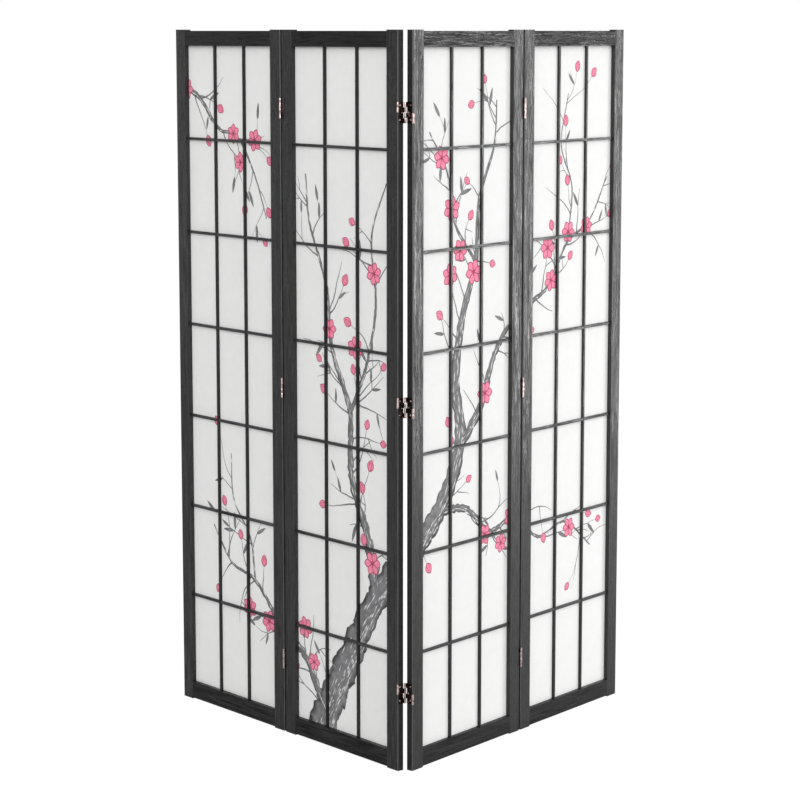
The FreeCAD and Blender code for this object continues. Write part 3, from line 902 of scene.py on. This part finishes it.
# ---------------------------------------------------------------- the stage
CAMERA_PLACE = Vector((-0.0004, -6.0753, 1.7779))
CAMERA_PITCH = math.radians(8.245)
CAMERA_LENS = 109.8
CAMERA_SHIFT = -0.02
SENSOR_WIDTH = 36
FLOOR_SIZE = 60
FLOOR_COLOUR = (0.42, 0.42, 0.42, 1)
FLOOR_GLOW = 1.2
FLOOR_GLOW_SHARE = 0.78
SOFTBOXES = (  # name, place, width, height, power in watts
    ("right_softbox", (4.2, 1.0, 1.1), 1.3, 2.1, 62.0),
    ("left_softbox", (-3.6, 1.9, 1.7), 0.7, 2.2, 8.0),
    ("front_softbox", (-0.4, -5.5, 3.2), 3.0, 2.0, 116.0),
)


def seen_directly(tree):
    """1 for rays that show the backdrop itself."""
    path = node(tree, "ShaderNodeLightPath")
    return math_node(tree, "ADD", path.outputs["Is Camera Ray"], path.outputs["Is Transmission Ray"],
                     clamp=True)


class SCREEN_OT_stage(bpy.types.Operator):
    """Add the floor, the soft lights and the camera"""

    bl_idname = "screen.stage"
    bl_label = "Stage"

    def execute(self, context):
        scene = context.scene
        scene.view_settings.view_transform = "Standard"
        self.floor()
        self.world(scene)
        target = Vector((0, 0, CAD_BOUNDS[1].z / 2))
        for name, place, wide, high, power in SOFTBOXES:
            self.softbox(name, Vector(place), target, wide, high, power)
        self.camera(scene)
        return {"FINISHED"}

    def floor(self):
        deselect()
        bpy.ops.mesh.primitive_grid_add(x_subdivisions=8, y_subdivisions=8, size=FLOOR_SIZE)
        floor = bpy.context.active_object
        floor.name = "studio_floor"
        material, tree, shader = principled("pale_floor")
        shader.inputs["Base Color"].default_value = FLOOR_COLOUR
        shader.inputs["Roughness"].default_value = 0.9
        glow = node(tree, "ShaderNodeEmission", {"Color": (1, 1, 1, 1), "Strength": FLOOR_GLOW})
        share = math_node(tree, "MULTIPLY", seen_directly(tree), FLOOR_GLOW_SHARE)
        mixed = node(tree, "ShaderNodeMixShader",
                     {0: share, 1: shader.outputs["BSDF"], 2: glow.outputs["Emission"]})
        tree.links.new(mixed.outputs["Shader"], tree.nodes["Material Output"].inputs["Surface"])
        set_finish(floor, material)

    def world(self, scene):
        """Soft light: strongest in front, some from behind, least beside the left wing."""
        world = bpy.data.worlds.new("studio")
        scene.world = world
        world.use_nodes = True
        tree = world.node_tree
        background = tree.nodes["Background"]
        towards = node(tree, "ShaderNodeTexCoord").outputs["Generated"]
        forwards = node(tree, "ShaderNodeSeparateXYZ", {"Vector": towards}).outputs["Y"]
        soft = math_node(tree, "ADD", span(tree, forwards, -0.75, 0.15, 1.70, 0.42),
                         span(tree, forwards, 0.40, 0.90, 0.0, 0.80))
        beside = node(tree, "ShaderNodeVectorMath", {0: towards, 1: (-0.995, -0.02, 0.08)},
                      operation="DOT_PRODUCT").outputs["Value"]
        soft = math_node(tree, "MULTIPLY", soft, span(tree, beside, 0.68, 0.90, 1.0, 0.03))
        seen = node(tree, "ShaderNodeMix", {0: seen_directly(tree), 2: soft, 3: 1.0})
        tree.links.new(seen.outputs[0], background.inputs["Strength"])
        background.inputs["Color"].default_value = (1, 1, 1, 1)

    def softbox(self, name, place, target, wide, high, power):
        deselect()
        bpy.ops.object.light_add(type="AREA", location=place)
        lamp = bpy.context.active_object
        lamp.name = name
        lamp.data.shape = "RECTANGLE"
        lamp.data.size = wide
        lamp.data.size_y = high
        lamp.data.energy = power
        lamp.rotation_euler = (target - place).to_track_quat("-Z", "Y").to_euler()

    def camera(self, scene):
        deselect()
        bpy.ops.object.camera_add(location=CAMERA_PLACE,
                                  rotation=(math.pi / 2 - CAMERA_PITCH, 0, 0))
        camera = bpy.context.active_object
        camera.data.lens = CAMERA_LENS
        camera.data.sensor_width = SENSOR_WIDTH
        camera.data.shift_y = CAMERA_SHIFT
        scene.camera = camera


class SCREEN_PT_panel(bpy.types.Panel):
    """Lists the steps that dress the screen"""

    bl_idname = "SCREEN_PT_panel"
    bl_label = "Shoji Screen"
    bl_space_type = "VIEW_3D"
    bl_region_type = "UI"
    bl_category = "Shoji Screen"

    def draw(self, context):
        for settings in (context.scene.screen_sizes, context.scene.screen_colours):
            for name in settings.__annotations__:
                self.layout.prop(settings, name)
        for step in STEPS:
            self.layout.operator(step.bl_idname)


STEPS = (SCREEN_OT_wood, SCREEN_OT_paper, SCREEN_OT_print, SCREEN_OT_hinges, SCREEN_OT_stage)
CLASSES = (ScreenSizes, ScreenColours, *STEPS, SCREEN_PT_panel)


def register():
    for cls in CLASSES:
        bpy.utils.register_class(cls)
    bpy.types.Scene.screen_sizes = PointerProperty(type=ScreenSizes)
    bpy.types.Scene.screen_colours = PointerProperty(type=ScreenColours)


def unregister():
    del bpy.types.Scene.screen_colours
    del bpy.types.Scene.screen_sizes
    for cls in reversed(CLASSES):
        bpy.utils.unregister_class(cls)


def main():
    register()
    for step in STEPS:
        group, name = step.bl_idname.split(".")
        getattr(getattr(bpy.ops, group), name)()


if __name__ == "__main__":
    main()
